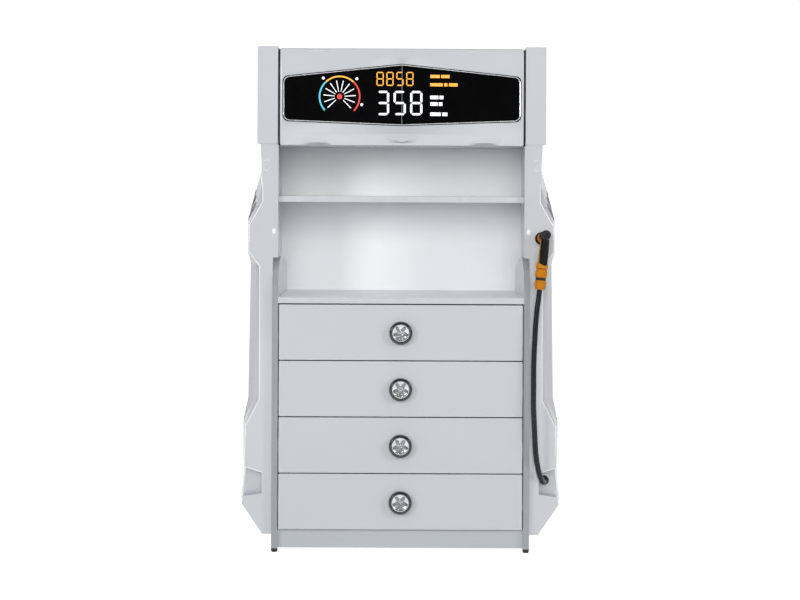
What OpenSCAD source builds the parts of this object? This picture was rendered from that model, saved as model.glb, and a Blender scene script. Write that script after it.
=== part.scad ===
// Child's bedroom chest of drawers and shelves, styled as a petrol pump,
// with a toy nozzle and hose on its right side shell.
// +X is the viewer's right, +Y is the back, +Z is up. The origin is on the
// floor, under the middle of the bounding box.

/* [Cabinet] */
// Overall height, to the top of the side shells
total_h = 1500; // [1400:10:1600]
// Clear width between the two lower panels
bay_w = 728; // [680:4:760]
// Thickness of the carcass boards
board_t = 18; // [16:1:20]
// Height of the deck board's top face
deck_z = 755; // [755:1:760]
// Height of the upper shelf's top face
shelf_z = 1055; // [1000:5:1100]
// Height of the header's lower edge
header_z = 1204; // [1190:1:1204]
// Top of the lower panels, beside the niche
panel_top_z = 872; // [850:1:890]
// Height of the glides under the boards
foot_h = 11; // [8:1:14]

/* [Drawers] */
// Height from one drawer front to the next
drawer_pitch = 167; // [160:1:167]
// Gap round each drawer front
drawer_gap = 3; // [2:0.5:4]
// Thickness of the drawer box boards
box_t = 12; // [10:1:12]
// Height of the drawer box sides
box_h = 120; // [90:5:125]
// Outer radius of the wheel knob's tyre
knob_r = 34; // [28:1:38]

/* [Shells] */
// Wall thickness of the plastic shells
skin_t = 4; // [3:0.5:5]
// How far the header's middle stands forward of its ends
prow = 25; // [10:1:30]

/* [Nozzle and hose] */
// Radius of the nozzle's barrel
barrel_r = 13; // [11:0.5:14]
// Radius of the nozzle's rear flow knob
flow_r = 14.5; // [13.5:0.5:16]
// Outer radius of the hose
hose_r = 8; // [7:0.5:9]

/* [Hidden] */
$fn = 48;

white = "white";
edge_grey = "gainsboro";
shell_white = "ghostwhite";
steel = "silver";
black = "dimgray";
yellow = "gold";

// Depth, from the front of the nozzle to the back panel's rear face
y_rear = 228;
back_t = 5;
y_back = y_rear - back_t;
y_front = -177;
y_shell = y_front + 20;
y_ledge = y_shell + 55;
y_full = y_ledge + 47;
y_taper = 150;
y_header = y_shell - 10;
y_header_rear = y_header + 90;

// Width, from the middle outwards
x_bay = bay_w / 2;
x_panel = x_bay + board_t;
x_side = x_panel + board_t;
x_pillar = x_bay + 2;
x_header = x_bay - 1.5;

module block(x0, x1, y0, y1, z0, z1) {
    translate([x0, y0, z0]) cube([x1 - x0, y1 - y0, z1 - z0]);
}

// Places children with their +Z along the line from p to q
module along(p, q) {
    d = q - p;
    translate(p)
        rotate([0, acos(d[2] / norm(d)), atan2(d[1], d[0])])
            children();
}

// ---- carcass boards ----

pin_r = 2.5;
pin_len = 16;
pin_out = 8;
pin_z = shelf_z - board_t - pin_r;
pin_rows = [-100, 160];
side_low = 50;

module outer_side() {
    difference() {
        block(x_panel, x_side, y_shell + skin_t, y_back, side_low, total_h - skin_t);
        for (y = pin_rows)
            translate([x_panel - 1, y, pin_z]) rotate([0, 90, 0])
                cylinder(r = pin_r, h = pin_len - pin_out + 1);
    }
}

// The right board is scooped where the nozzle's holster passes it
module outer_side_right() {
    color(white) difference() {
        outer_side();
        along(mouth, tail) translate([0, 0, -sleeve_in - 4]) cylinder(r = sleeve_r + 0.6, h = 90);
    }
}

module outer_side_left() {
    color(white) mirror([1, 0, 0]) outer_side();
}

// The lower panel's top rounds down in front and falls gently to the back
nose_r = 110;
slope_r = 950;

module panel_outline() {
    nose_y = y_front + nose_r;
    difference() {
        translate([y_front, foot_h])
            square([y_back - y_front, panel_top_z - foot_h]);
        difference() {
            translate([y_front - 1, panel_top_z - nose_r])
                square(nose_r + 1);
            translate([nose_y, panel_top_z - nose_r])
                circle(r = nose_r, $fn = 96);
        }
        difference() {
            translate([nose_y, panel_top_z - nose_r])
                square([y_back - nose_y + 1, nose_r + 1]);
            translate([nose_y, panel_top_z - slope_r])
                circle(r = slope_r, $fn = 360);
        }
    }
}

module lower_panel_right() {
    color(edge_grey)
        translate([x_bay, 0, 0]) rotate([90, 0, 90])
            linear_extrude(board_t) panel_outline();
}

module lower_panel_left() {
    mirror([1, 0, 0]) lower_panel_right();
}

kick_top = deck_z - board_t - 2 - 4 * drawer_pitch;
kick_y = y_front + 17;

module base_board() {
    color(white)
        block(-x_bay, x_bay, kick_y + board_t, y_back, kick_top - 1 - board_t, kick_top - 1);
}

module kick_board() {
    color(white) block(-x_bay, x_bay, kick_y, kick_y + board_t, foot_h, kick_top);
}

module deck_board() {
    color(edge_grey) block(-x_bay, x_bay, y_front, y_back, deck_z - board_t, deck_z);
}

shelf_setback = 24;

module upper_shelf() {
    color(edge_grey)
        block(1 - x_panel, x_panel - 1, y_shell + shelf_setback, y_back - 1, shelf_z - board_t, shelf_z);
}

module niche_ceiling() {
    color(white)
        block(-x_panel, x_panel, y_shell + skin_t, y_back, header_z + skin_t, header_z + skin_t + board_t);
}

module top_board() {
    color(white)
        block(-x_panel, x_panel, y_header_rear, y_back, total_h - 6 - board_t, total_h - 6);
}

module back_panel() {
    color(white) block(1 - x_side, x_side - 1, y_back, y_rear, foot_h, total_h - 6);
}

module glide_feet() {
    glide_r = 10;
    color(black)
        for (side = [-1, 1])
            for (y = [y_front + glide_r, 0, y_back - 20])
                translate([side * (x_bay + board_t / 2), y, 0]) {
                    cylinder(r1 = glide_r - 2, r2 = glide_r, h = 4);
                    translate([0, 0, 4]) cylinder(r = glide_r, h = foot_h - 4);
                }
}

module shelf_pins() {
    color(steel)
        for (side = [-1, 1])
            for (y = pin_rows)
                translate([side * x_panel, y, pin_z]) rotate([0, side * 90, 0])
                    translate([0, 0, -pin_out]) cylinder(r = pin_r, h = pin_len);
}

// Round-head screws hold the back panel to the boards' rear edges
module back_screws() {
    screw_head_r = 3.5;
    screw_head_h = 1.6;
    color(steel)
        for (side = [-1, 1])
            for (z = [60 : 200 : 1460])
                translate([side * (x_side - 9), y_rear, z]) rotate([-90, 0, 0])
                    cylinder(r1 = screw_head_r, r2 = screw_head_r * 0.6, h = screw_head_h);
}

// ---- drawers ----

box_x = x_bay - 13;
front_t = board_t;
box_front = y_front + front_t;
box_rear = box_front + 370;
runner_len = 350;
runner_y = y_front + 27;

// Lower edge of drawer n's front; drawer 1 is the top one
function drawer_z(n) = kick_top + drawer_gap / 2 + drawer_pitch * (4 - n);
function runner_z(n) = drawer_z(n) + 70;
function knob_z(n) = drawer_z(n) + (drawer_pitch - drawer_gap) / 2;

module drawer_front(n) {
    color(white)
        block(drawer_gap - x_bay, x_bay - drawer_gap, y_front, box_front,
            drawer_z(n), drawer_z(n) + drawer_pitch - drawer_gap);
}

box_lift = 18;
bottom_t = 4;
bottom_lift = 10;

module drawer_sides(n) {
    z = drawer_z(n) + box_lift;
    color(white)
        for (side = [0, 1])
            mirror([side, 0, 0])
                difference() {
                    block(box_x - box_t, box_x, box_front, box_rear, z, z + box_h);
                    block(box_x - box_t - 1, box_x - box_t + 5, box_front - 1, box_rear + 1,
                        z + bottom_lift, z + bottom_lift + bottom_t);
                }
}

module drawer_back(n) {
    z = drawer_z(n) + box_lift;
    color(white)
        block(box_t - box_x, box_x - box_t, box_rear - box_t, box_rear,
            z + bottom_lift + bottom_t, z + box_h - 10);
}

module drawer_bottom(n) {
    z = drawer_z(n) + box_lift + bottom_lift;
    color(white)
        block(box_t - 5 - box_x, box_x - box_t + 5, box_front, box_rear, z, z + bottom_t);
}

// The drawer's rail is a plate with a tongue that runs in the cabinet's channel
module drawer_runners(n) {
    color(steel)
        for (side = [0, 1])
            mirror([side, 0, 0]) {
                block(box_x, box_x + 1.5, runner_y, runner_y + runner_len,
                    runner_z(n) - 17, runner_z(n) + 17);
                block(box_x + 1.5, x_bay - 3, runner_y, runner_y + runner_len,
                    runner_z(n) - 12, runner_z(n) + 12);
            }
}

module cabinet_runners() {
    channel_h = 44;
    wall = 1.5;
    depth = 10;
    color(steel)
        for (n = [1 : 4])
            for (side = [0, 1])
                mirror([side, 0, 0])
                    difference() {
                        block(x_bay - depth, x_bay, runner_y, runner_y + runner_len,
                            runner_z(n) - channel_h / 2, runner_z(n) + channel_h / 2);
                        block(x_bay - depth - 1, x_bay - wall, runner_y - 1, runner_y + runner_len + 1,
                            runner_z(n) - channel_h / 2 + wall, runner_z(n) + channel_h / 2 - wall);
                    }
}

// Wheel knob: a tyre with a rounded tread on a five-spoke rim
knob_depth = 26;
rim_r = knob_r - 9;

module at_knob(n) {
    translate([0, y_front, knob_z(n)]) rotate([90, 0, 0]) children();
}

module knob_tyre(n) {
    tread = 4;
    color(black) at_knob(n)
        rotate_extrude($fn = 96) {
            translate([rim_r, 6]) square([knob_r - rim_r - tread, knob_depth - 6]);
            translate([knob_r - tread, 6 + tread]) square([tread, knob_depth - 6 - 2 * tread]);
            translate([knob_r - tread, 6 + tread]) circle(r = tread, $fn = 32);
            translate([knob_r - tread, knob_depth - tread]) circle(r = tread, $fn = 32);
        }
}

module knob_rim(n) {
    hub_r = 6;
    spoke_w = 6;
    dish = knob_depth - 12;
    color(steel) at_knob(n) {
        cylinder(r = 10, h = 8);
        translate([0, 0, 8]) cylinder(r = rim_r, h = dish - 8);
        cylinder(r = hub_r, h = knob_depth - 4);
        difference() {
            translate([0, 0, dish - 1]) cylinder(r = rim_r, h = knob_depth - 3 - dish, $fn = 96);
            translate([0, 0, dish - 2]) cylinder(r = rim_r - 3, h = knob_depth, $fn = 96);
        }
        for (k = [0 : 4])
            rotate(270 + 72 * k) translate([0, -spoke_w / 2, dish - 1])
                cube([rim_r - 1, spoke_w, knob_depth - 5 - dish]);
    }
}

// ---- header ----

header_low = header_z;
header_high = total_h - 6;

// Cross-section in Y and Z; bulge is how far the display face stands out
function header_section(bulge, low, high, t) = [
    [y_header_rear + t, header_low + t],
    [y_header + 5 + t * 0.6, header_low + t],
    [y_header + t, header_low + 9],
    [y_header - bulge * 0.25 + t, header_low + 35],
    [y_header - bulge + t, low],
    [y_header - bulge + t, high],
    [y_header - bulge * 0.3 + t, header_high - 28],
    [y_header + t, header_high - 9],
    [y_header + 5 + t * 0.6, header_high - t],
    [y_header_rear + t, header_high - t],
];

display_x = 354;
display_low_mid = 1262;
display_high_mid = 1446;
display_low_end = 1278;
display_high_end = 1410;

function header_stations(t) = [
    [x_header - t, header_section(1.5, display_low_end, display_high_end, t)],
    [0, header_section(prow, display_low_mid, display_high_mid, t)],
    [-x_header + t, header_section(1.5, display_low_end, display_high_end, t)],
];

// Solid lofted through closed outlines of equal length, each placed by place()
module loft(rings) {
    rows = len(rings);
    cols = len(rings[0]);
    points = [for (ring = rings) for (p = ring) p];
    walls = [for (i = [0 : rows - 2]) for (j = [0 : cols - 1])
        let (k = (j + 1) % cols)
        each [
            [i * cols + j, (i + 1) * cols + j, (i + 1) * cols + k],
            [i * cols + j, (i + 1) * cols + k, i * cols + k],
        ]];
    first = [[for (j = [0 : cols - 1]) j]];
    last = [[for (j = [cols - 1 : -1 : 0]) (rows - 1) * cols + j]];
    polyhedron(points, concat(first, walls, last));
}

function across(stations) = [for (s = stations) [for (p = s[1]) [s[0], p[0], p[1]]]];
function deep(stations) = [for (s = stations) [for (p = s[1]) [p[0], s[0], p[1]]]];

// A skin, open at the back; its ends are cut away where the ceiling board passes
module header_shell() {
    color(shell_white)
        difference() {
            loft(across(header_stations(0)));
            loft(across(header_stations(skin_t)));
            block(-x_panel, x_panel, y_shell + skin_t, y_header_rear + 1,
                header_low + skin_t, header_low + skin_t + board_t);
        }
}

// Black display plate in two leaves that meet on the header's ridge
plate_t = 2;
plate_corner = 8;

function plate_ring(x, y, low, high) = [
    [x, y, low], [x, y, high], [x, y - plate_t, high], [x, y - plate_t, low],
];

module display_panel() {
    y_end = y_header - 1.5 - (prow - 1.5) * (1 - display_x / x_header) - 0.1;
    y_mid = y_header - prow;
    x_cut = display_x - plate_corner;
    y_cut = y_end + (y_mid - y_end) * plate_corner / display_x;
    color(black)
        loft([
            plate_ring(-display_x, y_end - 0.5, display_low_end + plate_corner, display_high_end - plate_corner),
            plate_ring(-x_cut, y_cut - 0.5, display_low_end + 1, display_high_end - 1),
            plate_ring(0, y_mid - 0.5, display_low_mid + 1, display_high_mid - 1),
            plate_ring(x_cut, y_cut - 0.5, display_low_end + 1, display_high_end - 1),
            plate_ring(display_x, y_end - 0.5, display_low_end + plate_corner, display_high_end - plate_corner),
        ]);
}

// ---- side shells ----

block_x = 429;
block_low = 1210;
block_proud = 4;

// Outer edge of the right shell seen from the front, floor end first, as [x, z]:
// of its raised front face, of the step behind it, and of its widest part
front_line = [
    [410, 50], [472, 141], [466, 162], [412, 170], [412, 233], [466, 250], [462, 370],
    [422, 450], [422, 845], [455, 890], [453, 967], [414, 1038], [414, 1106], [420, block_low],
];
ledge_line = [
    [410, 50], [474, 141], [472, 160], [470, 175], [464, 236], [467, 250], [465, 370],
    [438, 450], [436, 848], [457, 886], [456, 972], [430, 1052], [419, 1120], [421, block_low],
];
full_line = [
    [412, 50], [483, 141], [481, 165], [479, 176], [474, 236], [476, 252], [477, 372],
    [462, 446], [456, 850], [466, 884], [465, 980], [442, 1070], [424, 1136], [423, block_low],
];

function unit(v) = v / norm(v);
function outward(a, b) = let (d = unit(b - a)) [d[1], -d[0]];
function mitre(a, b, c, t) =
    let (n = outward(a, b), m = unit(n + outward(b, c))) b - m * t / (m * n);
// The line moved inwards by t, and run on upwards into the block above it
function inset(line, t) = [for (i = [0 : len(line) - 1])
    i == 0 ? line[0] + [-t, t] :
    i == len(line) - 1 ? line[i] + [-t, 5 + t * 2.5] :
    mitre(line[i - 1], line[i], line[i + 1], t)];
function outline(line, t, x_in) =
    let (edge = inset(line, t), last = len(edge) - 1)
    [[x_in, edge[last][1]], for (i = [last : -1 : 0]) edge[i], [x_in, edge[0][1]]];
function narrowed(line, k) = [for (p = line) [x_side + (p[0] - x_side) * k, p[1]]];

// The lower body: a raised front layer, a step behind it, and flared sides
module shell_body(t, x_in) {
    step = 2;
    rear_share = 0.86;
    loft(deep([
        [y_shell + t, outline(front_line, t, x_in)],
        [y_ledge - step + t, outline(front_line, t, x_in)],
        [y_ledge + t, outline(ledge_line, t, x_in)],
        [y_full, outline(full_line, t, x_in)],
        [y_taper, outline(full_line, t, x_in)],
        [y_rear - t, outline(narrowed(full_line, rear_share), t, x_in)],
    ]));
}

// The upper block beside the header
module shell_block(t, x_in) {
    block(x_in, block_x - t, y_shell - block_proud + t, y_rear - 0.5 - t, block_low + t, total_h - t);
}

// Facet along the pillar's inner edge, above the lower panel
module pillar_facet(grow) {
    facet_w = 24;
    facet_d = 3;
    facet_low = panel_top_z + 80;
    translate([x_pillar, y_shell, facet_low])
        linear_extrude(block_low - 0.4 - facet_low)
            polygon([[-1, -1], [facet_w + grow, -1], [-1, facet_d + grow]]);
}

module side_shell_solid() {
    difference() {
        union() {
            shell_body(0, x_pillar);
            shell_block(0, x_pillar + 2);
        }
        difference() {
            union() {
                shell_body(skin_t, x_pillar - 20);
                shell_block(skin_t, x_pillar - 18);
            }
            translate([0, 0, -1]) pillar_facet(skin_t);
        }
        pillar_facet(0);
        // room for the boards behind, and for the lower panel in front
        block(0, x_side, y_shell + skin_t - 0.2, y_rear + 1, 0, total_h - 5.5);
        block(0, x_panel, y_shell - 10, y_shell + 10, 0, panel_top_z);
    }
}

// The nozzle's barrel axis runs from the holster's mouth out to the flow knob
mouth = [416, y_shell, 930];
tail = [426, y_shell - 71, 945];
sleeve_r = barrel_r + 2.5;
gland_x = 432;
gland_z = 205;

module side_shell_right() {
    color(shell_white)
        difference() {
            side_shell_solid();
            along(mouth, tail) translate([0, 0, -30]) cylinder(r = sleeve_r + 0.2, h = 50);
            translate([gland_x, y_ledge - 10, gland_z]) rotate([-90, 0, 0])
                cylinder(r = hose_r + 2, h = 30);
        }
}

module side_shell_left() {
    color(shell_white) mirror([1, 0, 0]) side_shell_solid();
}

// ---- nozzle ----

barrel_in = 55;
sleeve_in = 62;
grip_at = 48;
grip_top = mouth + (tail - mouth) * grip_at / norm(tail - mouth);
grip_foot = [408.5, -205, 783];
grip_len = norm(grip_foot - grip_top);

module holster_sleeve() {
    flange_r = 20;
    color(black) along(mouth, tail)
        difference() {
            union() {
                translate([0, 0, 5.4]) cylinder(r1 = flange_r, r2 = flange_r - 2, h = 3);
                translate([0, 0, -sleeve_in]) cylinder(r = sleeve_r, h = sleeve_in + 7);
            }
            translate([0, 0, -sleeve_in + 3]) cylinder(r = barrel_r + 0.6, h = 100);
        }
}

nut_h = 27;
core_h = 9;
collar_h = 26;
shoulder_h = 18;
handle_at = nut_h + core_h + collar_h;
socket_h = 8;

module gun_neck() {
    shoulder_r = 15.5;
    neck_r = 10;
    slope = 6;
    along(grip_foot, grip_top) translate([0, 0, handle_at]) {
        cylinder(r = shoulder_r, h = shoulder_h - slope);
        translate([0, 0, shoulder_h - slope]) cylinder(r1 = shoulder_r, r2 = 12, h = slope);
        cylinder(r1 = 13, r2 = neck_r, h = grip_len - handle_at);
    }
}

module gun_body() {
    color(yellow) difference() {
        union() {
            along(mouth, tail) translate([0, 0, -barrel_in]) cylinder(r = barrel_r, h = 115);
            gun_neck();
            trigger_ears();
        }
        translate(pivot) rotate([0, 90, 0])
            cylinder(r = pin_shaft_r + 0.05, h = 30, center = true);
    }
}

pivot = [418.7, -184, 914];
tip = [413.5, -172, 862];
ear_r = 5;
pin_shaft_r = 2;

module trigger_ears() {
    for (side = [-1, 1])
        translate([pivot[0] + side * 6.5, pivot[1], pivot[2]]) {
            rotate([0, 90, 0]) cylinder(r = ear_r, h = 3, center = true);
            translate([-1.5, -ear_r, 0]) cube([3, 2 * ear_r, 14]);
        }
}

module trigger_pin() {
    color(steel)
        translate(pivot) rotate([0, 90, 0]) cylinder(r = pin_shaft_r, h = 19, center = true);
}

module trigger() {
    color(yellow)
        difference() {
            union() {
                translate(pivot) rotate([0, 90, 0]) cylinder(r = ear_r, h = 9, center = true);
                hull() {
                    translate(pivot + [0, 1, -5]) cube([8, 5, 4], center = true);
                    translate(tip) cube([14, 4, 4], center = true);
                }
                translate(tip) rotate([0, 90, 0]) cylinder(r = 3.5, h = 14, center = true);
            }
            translate(pivot) rotate([0, 90, 0])
                cylinder(r = pin_shaft_r + 0.05, h = 30, center = true);
        }
}

// Black soft grip over the front of the handle and the rear of the barrel
module gun_grip() {
    grip_r = 13;
    grip_from = handle_at + grip_r + 1;
    color(black) {
        difference() {
            union() {
                along(mouth, tail) translate([0, 0, 34]) cylinder(r = barrel_r + 2, h = 25);
                translate([0, -6, 0]) along(grip_foot, grip_top)
                    translate([0, 0, grip_from]) cylinder(r = grip_r, h = grip_len - grip_from);
                translate([0, -6, 0]) along(grip_foot, grip_top)
                    translate([0, 0, grip_from]) sphere(r = grip_r);
            }
            along(mouth, tail) translate([0, 0, -barrel_in]) cylinder(r = barrel_r, h = 115);
            along(mouth, tail) translate([0, 0, 59.6]) cylinder(r = flow_r + 1, h = 30);
            gun_neck();
        }
    }
}

module flow_knob() {
    color(black)
        along(mouth, tail) translate([0, 0, 60.5])
            difference() {
                cylinder(r = flow_r, h = 10);
                for (k = [0 : 11])
                    rotate(30 * k) translate([flow_r + 0.6, 0, -1]) cylinder(r = 1.6, h = 12);
                translate([0, 0, 8]) cylinder(r = 6, h = 3);
            }
}

// Quick coupling on the hose: a core with a sliding collar and a nut
module coupling_core() {
    color(black)
        along(grip_foot, grip_top) {
            translate([0, 0, nut_h]) cylinder(r = 15, h = core_h);
            translate([0, 0, nut_h + core_h]) cylinder(r = 12, h = collar_h);
            translate([0, 0, 0]) cylinder(r = hose_r + 2, h = nut_h);
        }
}

module coupling_collar() {
    rib_count = 16;
    color(yellow)
        along(grip_foot, grip_top) translate([0, 0, nut_h + core_h - 0.5])
            difference() {
                union() {
                    cylinder(r = 16.8, h = collar_h - 1);
                    for (k = [0 : rib_count - 1])
                        rotate(360 * k / rib_count) translate([16.6, 0, 6])
                            cylinder(r = 1, h = collar_h - 14);
                }
                translate([0, 0, 4.8]) cylinder(r = 12.3, h = collar_h);
                translate([0, 0, -1]) cylinder(r = 15.3, h = 6);
            }
}

module coupling_nut() {
    color(yellow)
        along(grip_foot, grip_top)
            difference() {
                union() {
                    cylinder(r1 = 14, r2 = 16.5, h = 7);
                    translate([0, 0, 7]) cylinder(r = 16.5, h = nut_h - 7);
                    for (k = [0 : 11])
                        rotate(30 * k) translate([16.2, 0, 8]) cylinder(r = 1.2, h = nut_h - 10);
                }
                translate([0, 0, -1]) cylinder(r = hose_r + 2, h = nut_h + 2);
            }
}

// ---- hose ----

// The hose hangs from the coupling, sways left, and turns back into the gland
hose_route = [
    [408, -205, 782], [405, -205, 755], [402, -206, 735], [399, -207, 705], [396, -208, 670],
    [394, -209, 630], [392, -210, 590], [391, -211, 540], [391, -211, 490], [391, -211, 440],
    [393, -210, 395], [395, -209, 355], [397, -206, 320], [400, -201, 290], [405, -193, 262],
    [411, -181, 238], [418, -166, 219], [425, -149, 209], [430, -134, 205], [432, -124, 205],
];
hose_sides = 10;

function lerp(a, b, t) = a + (b - a) * t;
// Catmull-Rom curve through four points
function curve(a, b, c, d, t) =
    0.5 * ((2 * b) + (c - a) * t + (2 * a - 5 * b + 4 * c - d) * t * t
    + (3 * b - a - 3 * c + d) * t * t * t);
function route_point(i, t) =
    let (last = len(hose_route) - 1)
    curve(hose_route[max(i - 1, 0)], hose_route[i], hose_route[min(i + 1, last)],
        hose_route[min(i + 2, last)], t);
hose_path = concat(
    [for (i = [0 : len(hose_route) - 2]) for (t = [0, 0.5]) route_point(i, t)],
    [hose_route[len(hose_route) - 1]]);

// Direction of the path at point i
function heading(i) =
    unit(hose_path[min(i + 1, len(hose_path) - 1)] - hose_path[max(i - 1, 0)]);

module hose() {
    rings = [for (i = [0 : len(hose_path) - 1])
        let (h = heading(i), u = unit(cross(h, [1, 0, 0])), v = cross(h, u))
        [for (k = [0 : hose_sides - 1])
            let (a = 360 * k / hose_sides)
            hose_path[i] + hose_r * (u * cos(a) + v * sin(a))]];
    color(black) loft(rings);
}

module hose_gland() {
    color(black)
        translate([gland_x, y_ledge - 2, gland_z]) rotate([90, 0, 0])
            difference() {
                union() {
                    translate([0, 0, -skin_t - 8]) cylinder(r = hose_r + 1.7, h = skin_t + 9);
                    cylinder(r = hose_r + 6, h = 4);
                    translate([0, 0, 4]) cylinder(r1 = hose_r + 3.5, r2 = hose_r + 1.5, h = 18);
                }
                translate([0, 0, 10]) cylinder(r = hose_r + 0.5, h = 20);
            }
}

// ---- assembly ----

outer_side_left();
outer_side_right();
lower_panel_left();
lower_panel_right();
base_board();
kick_board();
deck_board();
upper_shelf();
niche_ceiling();
top_board();
back_panel();
header_shell();
display_panel();
side_shell_left();
side_shell_right();
glide_feet();
shelf_pins();
cabinet_runners();
back_screws();
holster_sleeve();
hose_gland();
hose();
drawer_front(1);  // drawer_1_front
drawer_sides(1);  // drawer_1_sides
drawer_back(1);  // drawer_1_back
drawer_bottom(1);  // drawer_1_bottom
drawer_runners(1);  // drawer_1_runners
knob_tyre(1);  // drawer_1_knob_tyre
knob_rim(1);  // drawer_1_knob_rim
drawer_front(2);  // drawer_2_front
drawer_sides(2);  // drawer_2_sides
drawer_back(2);  // drawer_2_back
drawer_bottom(2);  // drawer_2_bottom
drawer_runners(2);  // drawer_2_runners
knob_tyre(2);  // drawer_2_knob_tyre
knob_rim(2);  // drawer_2_knob_rim
drawer_front(3);  // drawer_3_front
drawer_sides(3);  // drawer_3_sides
drawer_back(3);  // drawer_3_back
drawer_bottom(3);  // drawer_3_bottom
drawer_runners(3);  // drawer_3_runners
knob_tyre(3);  // drawer_3_knob_tyre
knob_rim(3);  // drawer_3_knob_rim
drawer_front(4);  // drawer_4_front
drawer_sides(4);  // drawer_4_sides
drawer_back(4);  // drawer_4_back
drawer_bottom(4);  // drawer_4_bottom
drawer_runners(4);  // drawer_4_runners
knob_tyre(4);  // drawer_4_knob_tyre
knob_rim(4);  // drawer_4_knob_rim
gun_body();
gun_grip();
trigger();
trigger_pin();
flow_knob();
coupling_core();
coupling_collar();
coupling_nut();
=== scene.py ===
"""Looks for the pump-styled chest of drawers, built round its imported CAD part."""

from math import atan2, copysign, cos, hypot, pi, radians, sin, sqrt

import bpy
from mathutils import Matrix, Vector
from mathutils.bvhtree import BVHTree


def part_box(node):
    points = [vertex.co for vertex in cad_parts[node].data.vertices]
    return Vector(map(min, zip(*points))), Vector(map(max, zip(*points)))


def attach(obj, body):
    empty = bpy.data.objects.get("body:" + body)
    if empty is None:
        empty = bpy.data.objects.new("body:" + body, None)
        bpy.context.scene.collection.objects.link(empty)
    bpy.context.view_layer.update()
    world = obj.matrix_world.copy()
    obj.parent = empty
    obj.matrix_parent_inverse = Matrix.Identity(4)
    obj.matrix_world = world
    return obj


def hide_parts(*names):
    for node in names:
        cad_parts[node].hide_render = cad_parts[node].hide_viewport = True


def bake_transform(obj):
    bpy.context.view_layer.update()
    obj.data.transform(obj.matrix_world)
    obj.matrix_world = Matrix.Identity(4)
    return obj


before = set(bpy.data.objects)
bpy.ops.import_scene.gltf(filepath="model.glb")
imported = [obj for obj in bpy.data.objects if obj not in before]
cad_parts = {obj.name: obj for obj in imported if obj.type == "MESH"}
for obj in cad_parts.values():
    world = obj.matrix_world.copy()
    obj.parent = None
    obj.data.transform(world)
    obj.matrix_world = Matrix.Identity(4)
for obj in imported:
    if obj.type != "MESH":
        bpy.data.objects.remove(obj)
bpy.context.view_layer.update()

TAU = 2 * pi
SHARP_ANGLE = 38
ROUND_STEPS = 5
TINY_SHARE = 0.02
WELD_DISTANCE = 0.00002
MATERIALS = {}

# ---- sizes repeated from the CAD source, in metres ----

Y_FRONT = -0.177
Y_SHELL = -0.157
X_HEADER = 0.3625
Y_HEADER = -0.167
Y_HEADER_REAR = -0.077
HEADER_LOW = 1.204
HEADER_HIGH = 1.494
PROW = 0.025
DISPLAY_X = 0.354

KNOB_R = 0.034
RIM_R = 0.025
KNOB_DEPTH = 0.026
DRAWERS = (1, 2, 3, 4)

MOUTH = Vector((0.416, Y_SHELL, 0.930))
TAIL = Vector((0.426, Y_SHELL - 0.071, 0.945))
GRIP_FOOT = Vector((0.4085, -0.205, 0.783))
GRIP_TOP = MOUTH + (TAIL - MOUTH).normalized() * 0.048
PIVOT = Vector((0.4187, -0.184, 0.914))
TIP = Vector((0.4135, -0.172, 0.862))
BARREL_R = 0.013
NUT_H = 0.027
CORE_H = 0.009
COLLAR_H = 0.026
SHOULDER_H = 0.018
EAR_R = 0.005
EAR_HALF = 0.0015
HANDLE_AT = NUT_H + CORE_H + COLLAR_H

HOSE_R = 0.008
HOSE_SIDES = 24
HOSE_SHARE = 6
HOSE_ROUTE = [
    (0.432, -0.124, 0.205), (0.430, -0.134, 0.205), (0.425, -0.149, 0.209),
    (0.418, -0.166, 0.219), (0.411, -0.181, 0.238), (0.405, -0.193, 0.262),
    (0.400, -0.201, 0.290), (0.397, -0.206, 0.320), (0.395, -0.209, 0.355),
    (0.393, -0.210, 0.395), (0.391, -0.211, 0.440), (0.391, -0.211, 0.490),
    (0.391, -0.211, 0.540), (0.392, -0.210, 0.590), (0.394, -0.209, 0.630),
    (0.396, -0.208, 0.670), (0.399, -0.207, 0.705), (0.402, -0.206, 0.735),
    (0.405, -0.205, 0.755), (0.408, -0.205, 0.782),
]


# ---- sizes that differ a little from the CAD's ----

DISPLAY_LOW_MID = 1.2625
DISPLAY_HIGH_MID = 1.4465
DISPLAY_LOW_END = 1.277
DISPLAY_HIGH_END = 1.411
DISPLAY_FACE_MID = -0.1945
DISPLAY_FACE_END = -0.1718
SHOULDER_R = 0.0178
GRIP_SHIFT = Vector((0.0022, -0.006, 0))


# ---- mesh helpers ----

def new_object(name, points, faces, smooth=True):
    """A mesh object from points and faces."""
    data = bpy.data.meshes.new(name)
    data.from_pydata([tuple(p) for p in points], [], faces)
    data.validate()
    data.update()
    data.polygons.foreach_set("use_smooth", [smooth] * len(data.polygons))
    if smooth:
        data.set_sharp_from_angle(angle=radians(SHARP_ANGLE))
    obj = bpy.data.objects.new(name, data)
    bpy.context.scene.collection.objects.link(obj)
    return obj


def bridge(a, b, columns):
    """Quads between two closed rings whose points start at a and b."""
    quads = []
    for j in range(columns):
        k = (j + 1) % columns
        quads.append((a + j, a + k, b + k, b + j))
    return quads


def ring_faces(rows, columns):
    """Quads between closed rings laid out one after another."""
    faces = []
    for i in range(rows - 1):
        faces += bridge(i * columns, (i + 1) * columns, columns)
    return faces


def circle(count):
    """The angles of points spread evenly once round."""
    return [TAU * k / count for k in range(count)]


def round_ring(centre, u, v, radius, sides):
    """Points evenly round a centre, in the plane of u and v."""
    return [centre + (u * cos(a) + v * sin(a)) * radius for a in circle(sides)]


def rounded_box_point(angle, half_w, half_h, power):
    """A point on a rounded rectangle; a smaller power makes it squarer."""
    across = cos(angle)
    up = sin(angle)
    return (half_w * copysign(abs(across) ** power, across),
            half_h * copysign(abs(up) ** power, up))


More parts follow.
